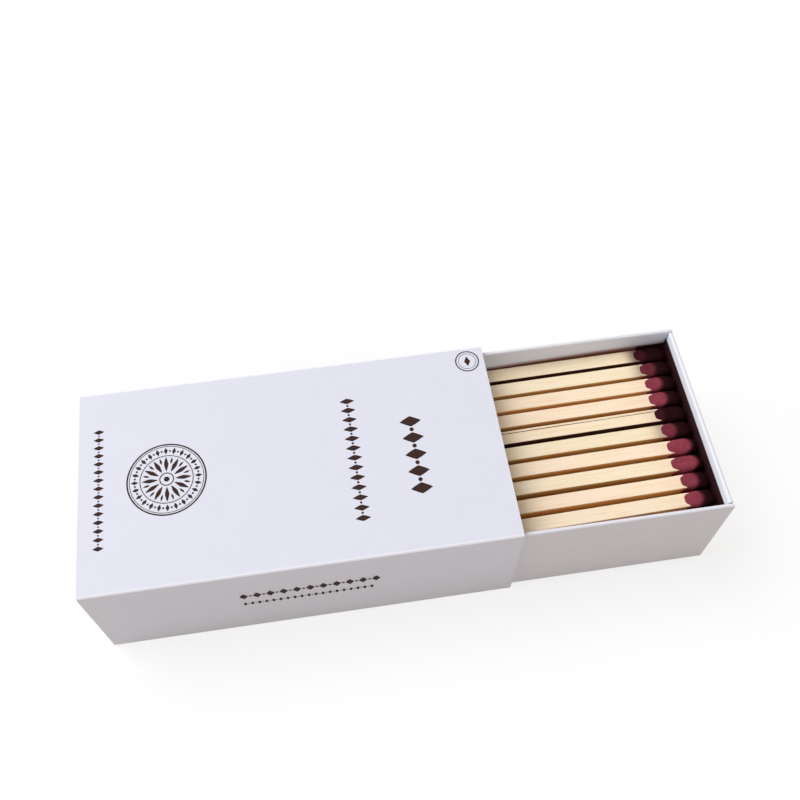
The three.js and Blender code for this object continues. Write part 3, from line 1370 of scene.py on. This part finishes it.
@dataclass
class Splint:
    """A square stick sawn from veneer: crisp edges, a slight wave and long grain in relief."""

    rings: int = 72
    per_side: int = 20
    corner: float = 0.10
    end_crowding: float = 0.25
    end_round: float = 0.35 * MM
    end_taper: float = 0.3
    grain_relief: float = 0.022 * MM
    grain_waves: int = 18
    grain_longest: float = 3.0
    grain_slowness: float = 0.15
    grain_turns: int = 5
    wander: float = 0.05 * MM
    crack_depth: float = 0.15 * MM
    crack_width: float = 0.1 * MM
    crack_face: float = 0.97
    cover_fade: float = 1.5 * MM
    tuck: float = 0.3 * MM
    tuck_run: float = 2 * MM
    wax_reach: float = 9 * MM
    shadow_reach: float = 4 * MM

    def build(self, name: str, place: MatchPlace, look: StickLook, material: Material,
              crack_at: float) -> Piece:
        """Builds a splint: a soft square carried along the match's axis.

        The grain's relief is a sum of sines that run fast round the section and slowly along it.
        It fades out under the head, where the section shrinks by tuck to stay inside the coat. A
        crack is a narrow bell-shaped groove in the top face.

        Args:
            name: The piece's name.
            place: Where it lies.
            look: What it looks like.
            material: Its wood.
            crack_at: Where a crack runs, as a share of the half-width.

        Returns:
            The piece.
        """
        u, v = soft_square(self.per_side, self.corner)
        sides = len(u)
        share = self.end_crowding * (1 - np.cos(np.linspace(0, math.pi, self.rings))) / 2
        share = (share + (1 - self.end_crowding) * np.linspace(0, 1, self.rings))[:, None]
        along = np.broadcast_to(share * place.wood_length, (self.rings, sides))
        angle = np.linspace(0, 2 * math.pi, sides, endpoint=False)[None, :]
        from_end = np.minimum(along, place.wood_length - along)
        short = 1 - np.clip(from_end / self.end_round, 0, 1)
        shrink = np.sqrt(np.clip(1 - short ** 2, 0, 1))
        exposed = np.clip((place.head_start - along) / self.cover_fade, 0, 1)
        strands = ripple(share * self.grain_slowness, angle * self.grain_turns, look.seed,
                         self.grain_waves, self.grain_longest)
        half = place.half_side - self.end_round * self.end_taper * (1 - shrink)
        half = half - self.grain_relief * np.abs(strands) * exposed
        covered = np.clip((along - place.head_start) / self.tuck_run - 0.5, 0, 1)
        half = half - self.tuck * covered
        groove = np.zeros_like(half)
        if look.cracked:
            near = np.exp(-(((u - crack_at) * place.half_side) / self.crack_width) ** 2)
            groove = -self.crack_depth * near * (v > self.crack_face) * exposed
        bend = self.wander * exposed * np.sin(math.pi * share + look.seed)
        points = place.put(along, u * half + bend, v * half + groove)
        faces = tube_faces(self.rings, sides).tolist()
        faces.append(list(range(sides - 1, -1, -1)))
        faces.append(list(range((self.rings - 1) * sides, self.rings * sides)))
        piece = mesh_object(name, points, faces)
        face_outwards(piece)
        piece.data.materials.append(material)
        from_head = along - place.head_start
        shaded = np.clip((from_head + self.shadow_reach) / self.shadow_reach, 0, 1)
        values = {
            "tone": look.tone,
            "blush": look.blush,
            "side_shadow": look.side_shadow,
            "cracked": float(look.cracked),
            "across": np.broadcast_to(u, half.shape),
            "upward": np.broadcast_to(v, half.shape),
            "shade": look.head_shadow * shaded ** 2,
            "waxed": np.clip((from_head + self.wax_reach) / self.wax_reach, 0, 1) ** 2,
        }
        for label, numbers in values.items():
            carry(piece, label, numbers)
        return piece


@dataclass(frozen=True)
class HeadLook:
    """What tells one head from the next: its tone, and how far from its back it stays lit before
    painted shade darkens it toward the tip.
    """

    seed: int
    tone: float
    light_reach: float


@dataclass
class Head:
    """A dipped head: it swells from the splint's faces, is fullest past its middle, ends blunt."""

    rings: int = 56
    sides: int = 72
    squareness: float = 3.8
    bulge_at: float = 0.55
    rear_taper: float = 0.2
    rear_sharpness: float = 3.0
    tip_sharpness: float = 2.8
    light_fade: float = 1.4 * MM
    light_bow: float = 0.25
    light_power: float = 1.5
    tip_shade: float = 0.0
    grain_relief: float = 0.045 * MM
    grain_height: float = 0.5
    grain_sink: float = 0.6
    grain_spread: float = 1.7
    lump_relief: float = 0.10 * MM
    lump_height: float = 0.5
    lump_waves: int = 10
    lump_longest: float = 2.0
    tip_calm: float = 6.0
    rear_calm: float = 5.0
    rear_least: float = 0.2

    def fullness(self, share: np.ndarray) -> np.ndarray:
        """The head's half-width as a share of its greatest.

        Behind the bulge it falls by rear_taper times the distance raised to rear_sharpness, so the
        coat meets the wood's faces first and its corners later. Ahead of it a superellipse closes
        the tip.

        Args:
            share: The place from the back, 0, to the tip, 1.

        Returns:
            The fullness.
        """
        back = np.clip((self.bulge_at - share) / self.bulge_at, 0, 1)
        behind = 1 - self.rear_taper * back ** self.rear_sharpness
        ahead = np.clip((share - self.bulge_at) / (1 - self.bulge_at), 0, 1)
        tip = np.clip(1 - ahead ** self.tip_sharpness, 0, 1) ** (1 / self.tip_sharpness)
        return np.where(share < self.bulge_at, behind, tip)

    def relief(self, share: np.ndarray, angle: np.ndarray, seed: int) -> np.ndarray:
        """The coat's grains and lumps, mostly inward: smoothed noise plus a slow ripple.

        The grains fade out at the tip. Both shrink to rear_least of their height at the back.

        Args:
            share: The place from the back, 0, to the tip, 1.
            angle: The place round it, in radians.
            seed: Which pattern.

        Returns:
            How far the surface stands off the smooth form.
        """
        draw = np.random.default_rng(seed)
        grains = draw.normal(size=share.shape) * np.clip((1 - share) * self.tip_calm, 0, 1)
        grains = grains + np.roll(grains, 1, axis=1) + np.roll(grains, 1, axis=0)
        grains = grains / self.grain_spread * self.grain_height - self.grain_sink
        lumps = ripple(share, angle, seed, self.lump_waves, self.lump_longest) - 1
        relief = self.grain_relief * grains + self.lump_relief * lumps * self.lump_height
        return relief * np.clip(share * self.rear_calm, self.rear_least, 1)

    def build(self, name: str, place: MatchPlace, look: HeadLook, material: Material) -> Piece:
        """Builds a head on its splint.

        Args:
            name: The piece's name.
            place: Where the match lies.
            look: What it looks like.
            material: Its compound.

        Returns:
            The piece.
        """
        length = place.head_end - place.head_start
        rows = np.sin(np.linspace(0, math.pi / 2, self.rings, endpoint=False))
        columns = np.linspace(0, 2 * math.pi, self.sides, endpoint=False)
        share, angle = np.meshgrid(rows, columns, indexing="ij")
        u, v = rounded_square(angle, self.squareness)
        half = place.half_head * self.fullness(share) + self.relief(share, angle, look.seed)
        body = place.put(place.head_start + share * length, u * half, v * half)
        ends = np.array([place.head_start, place.head_end])
        poles = place.put(ends, np.zeros(2), np.zeros(2))
        piece = mesh_object(name, np.concatenate([body.reshape(-1, 3), poles]), self.faces())
        face_outwards(piece)
        piece.data.materials.append(material)
        # Painted shade: past the lit reach the tone falls toward the tip's dark value.
        reach = look.light_reach * (1 - self.light_bow * u ** 2)
        lit = 1 - np.clip((share * length - reach) / self.light_fade + 0.5, 0, 1)
        tone = np.maximum(look.tone * lit ** self.light_power, self.tip_shade)
        carry(piece, "tone", np.concatenate([tone.ravel(), [look.tone, self.tip_shade]]))
        return piece

    def faces(self) -> list[list[int]]:
        """The rings' quads, then a fan of triangles from each pole, back and tip.

        Returns:
            The faces, as lists of point numbers.
        """
        last = (self.rings - 1) * self.sides
        side = np.arange(self.sides)
        beside = (side + 1) % self.sides
        back = np.full_like(side, self.rings * self.sides)
        rear_fan = np.stack([back, beside, side], axis=-1)
        tip_fan = np.stack([last + side, last + beside, back + 1], axis=-1)
        return tube_faces(self.rings, self.sides).tolist() + rear_fan.tolist() + tip_fan.tolist()


@dataclass
class MatchPile:
    """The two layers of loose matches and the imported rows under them.

    Each tuple holds one value for each match of the top layer, counted from the rear.
    """

    wood: WoodFinish
    compound: CompoundFinish
    splint: Splint
    head: Head
    blushes: tuple[float, ...] = (0.2, 0.1, 0.8, 0.9, 0.6, 0.1, 0.9, 0.2, 0.9, 0.5)
    tones: tuple[float, ...] = (0.4, 0.5, 0.8, 0.9, 0.7, 0.35, 0.95, 0.6, 0.9, 0.75)
    # how dark each front side is painted as shade
    side_shadows: tuple[float, ...] = (1.0, 0.15, 0.0, 0.25, 1.0, 0.2, 0.1, 0.3, 0.0, 0.1)
    head_shadows: tuple[float, ...] = (0.85, 0.5, 0.0, 0.0, 0.15, 0.5, 0.0, 0.0, 0.0, 0.0)
    head_tones: tuple[float, ...] = (0.12, 0.45, 0.95, 1.0, 0.10, 0.65, 1.0, 1.0, 0.9, 0.95)
    light_mm: tuple[float, ...] = (3.5, 4.6, 4.9, 5.3, 3.0, 4.2, 6.7, 7.3, 4.7, 4.9)
    cracked: int = 5
    second_seed: int = 40
    second_blush: float = 0.4
    second_side_shadow: float = 0.5
    # the second layer's heads are painted dark as shade
    second_shaded_tone: float = 0.22
    second_light: float = 5.5 * MM

    def build(self) -> None:
        """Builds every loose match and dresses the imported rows."""
        wood = self.wood.material()
        compound = self.compound.material()
        for row in Row:
            self.loose_row(row, wood, compound)
        self.packed_rows()

    def loose_row(self, row: Row, wood: Material, compound: Material) -> None:
        """Builds one layer of loose matches.

        Args:
            row: Which layer.
            wood: The splints' material.
            compound: The heads' material.
        """
        prefix = f"{row.value}_splint_"
        names = sorted(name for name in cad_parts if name.startswith(prefix))
        for index, splint_node in enumerate(names):
            head_node = splint_node.replace("splint", "head")
            place = MatchPlace.of(splint_node, head_node)
            stick_look, head_look = self.looks(row, index)
            stick = self.splint.build(f"{row.value}_stick_{index + 1:02d}", place, stick_look,
                                      wood, self.wood.crack_at)
            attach(stick, "tray")
            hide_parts(splint_node)
            bulb = self.head.build(f"{row.value}_tip_{index + 1:02d}", place, head_look, compound)
            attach(bulb, "tray")
            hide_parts(head_node)
        LOG.info("%s layer: %d matches", row.value, len(names))

    def looks(self, row: Row, index: int) -> tuple[StickLook, HeadLook]:
        """What one match looks like.

        Args:
            row: Its layer.
            index: Its place from the rear.

        Returns:
            The looks of its stick and its head.
        """
        turn = index % len(self.tones)
        if row is Row.SECOND:
            seed = self.second_seed + index
            stick = StickLook(seed, self.tones[-turn - 1], self.second_blush,
                              self.second_side_shadow)
            return stick, HeadLook(seed, self.second_shaded_tone, self.second_light)
        stick = StickLook(index, self.tones[turn], self.blushes[turn], self.side_shadows[turn],
                          self.head_shadows[turn], index + 1 == self.cracked)
        return stick, HeadLook(index, self.head_tones[turn], self.light_mm[turn] * MM)

    def packed_rows(self) -> None:
        """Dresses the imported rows, whose heads start where the rearmost loose one does."""
        head_start = min(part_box(name)[0][0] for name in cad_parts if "_head_" in name)
        material = PackedFinish(self.wood, self.compound, head_start).material()
        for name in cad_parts:
            if name.startswith("packed_matches_"):
                dress(name, material)


@dataclass(frozen=True)
class Lamp:
    """A square soft light that looks at the tray's mouth. Its energy is in watts."""

    name: str
    place: Point
    size: float
    energy: float
    colour: Colour
    aim: Point = (0.03, 0.0, 0.02)

    def hang(self) -> None:
        """Makes the light."""
        light = bpy.data.lights.new(self.name, "AREA")
        light.size = self.size
        light.energy = self.energy
        light.color = self.colour
        holder = bpy.data.objects.new(self.name, light)
        bpy.context.collection.objects.link(holder)
        holder.location = self.place
        direction = Vector(self.aim) - Vector(self.place)
        holder.rotation_euler = direction.to_track_quat("-Z", "Y").to_euler()


@dataclass
class Studio:
    """A white floor that keeps a soft shadow, plain lights and the photograph's camera.

    The key light hangs high on the left and a little behind. The others are faint.
    """

    camera_at: Point = (9.59 * MM, -111.25 * MM, 249.2 * MM)
    camera_azimuth_deg: float = -8.71
    camera_elevation_deg: float = 59.30
    camera_roll_deg: float = 0.15
    lens_mm: float = 43.47
    sensor_mm: float = 36.0
    clip: Pair = (0.01, 20.0)
    floor_half: float = 3.0
    floor_colour: Colour = (0.72, 0.66, 0.61)
    shadow_share: float = 0.22
    world_strength: float = 0.36
    world_colour: Colour = (1.10, 1.00, 0.90)
    lamps: tuple[Lamp, ...] = (
        Lamp("key", (-1.75, 1.2, 3.1), 2.7, 115.0, (0.97, 0.99, 1.06)),
        Lamp("front", (0.55, -1.1, 0.8), 1.0, 2.6, (1.03, 1.0, 1.0)),
        Lamp("side", (-2.6, 0.05, 1.05), 1.2, 13.0, (0.97, 0.99, 1.06)))

    def build(self) -> None:
        """Makes the floor, lights, world and camera."""
        self.floor()
        for lamp in self.lamps:
            lamp.hang()
        self.world()
        self.camera()

    def floor(self) -> None:
        """A flat floor. The camera sees lit white with its shadow, mixed with plain white light."""
        half = self.floor_half
        corners = np.array([[-half, -half, 0.0], [half, -half, 0.0], [half, half, 0.0],
                            [-half, half, 0.0]])
        piece = mesh_object("floor", corners, np.array([[0, 1, 2, 3]]), smooth=False)
        graph = MaterialGraph("pale_floor")
        graph.hold("Roughness", 1.0)
        graph.hold("Specular IOR Level", 0.0)
        glow = graph.add("ShaderNodeEmission")
        glow.inputs["Strength"].default_value = 1.0
        seen = graph.seen_directly()
        graph.drive("Base Color", graph.mix(seen, self.floor_colour, WHITE))
        plain = graph.math("MULTIPLY", seen, 1 - self.shadow_share)
        mixed = graph.mix_shaders(plain, graph.shader.outputs["BSDF"], glow.outputs["Emission"])
        graph.link(mixed, graph.output.inputs["Surface"])
        piece.data.materials.append(graph.material)

    def world(self) -> None:
        """A plain world: a soft warm fill, and white where the camera or a gloss sees it."""
        world = bpy.data.worlds.new("studio")
        world.use_nodes = True
        graph = NodeGraph(world.node_tree)
        output = graph.add("ShaderNodeOutputWorld")
        skies = []
        for colour, strength in ((self.world_colour, self.world_strength), (WHITE, 1.0)):
            sky = graph.add("ShaderNodeBackground")
            sky.inputs["Color"].default_value = (*colour, 1.0)
            sky.inputs["Strength"].default_value = strength
            skies.append(sky.outputs["Background"])
        graph.link(graph.mix_shaders(graph.seen_directly(), *skies), output.inputs["Surface"])
        bpy.context.scene.world = world

    def camera(self) -> None:
        """The photograph's camera."""
        lens = bpy.data.cameras.new("camera")
        lens.sensor_width = self.sensor_mm
        lens.lens = self.lens_mm
        lens.clip_start, lens.clip_end = self.clip
        holder = bpy.data.objects.new("camera", lens)
        bpy.context.collection.objects.link(holder)
        holder.location = self.camera_at
        azimuth = math.radians(self.camera_azimuth_deg)
        elevation = math.radians(self.camera_elevation_deg)
        turn = Euler((math.pi / 2 - elevation, 0.0, azimuth), "XYZ").to_matrix()
        roll = Euler((0.0, 0.0, math.radians(self.camera_roll_deg)), "XYZ").to_matrix()
        holder.rotation_euler = (turn @ roll).to_euler()
        bpy.context.scene.camera = holder
        bpy.context.scene.view_settings.view_transform = "Standard"


def main() -> None:
    """Builds the looks, sub-assembly by sub-assembly."""
    logging.basicConfig(level=logging.INFO, format="%(name)s: %(message)s")
    Sleeve(StrikerFinish(), InkFinish()).build()
    Tray().build()
    MatchPile(WoodFinish(), CompoundFinish(), Splint(), Head()).build()
    Studio().build()


if __name__ == "__main__":
    main()
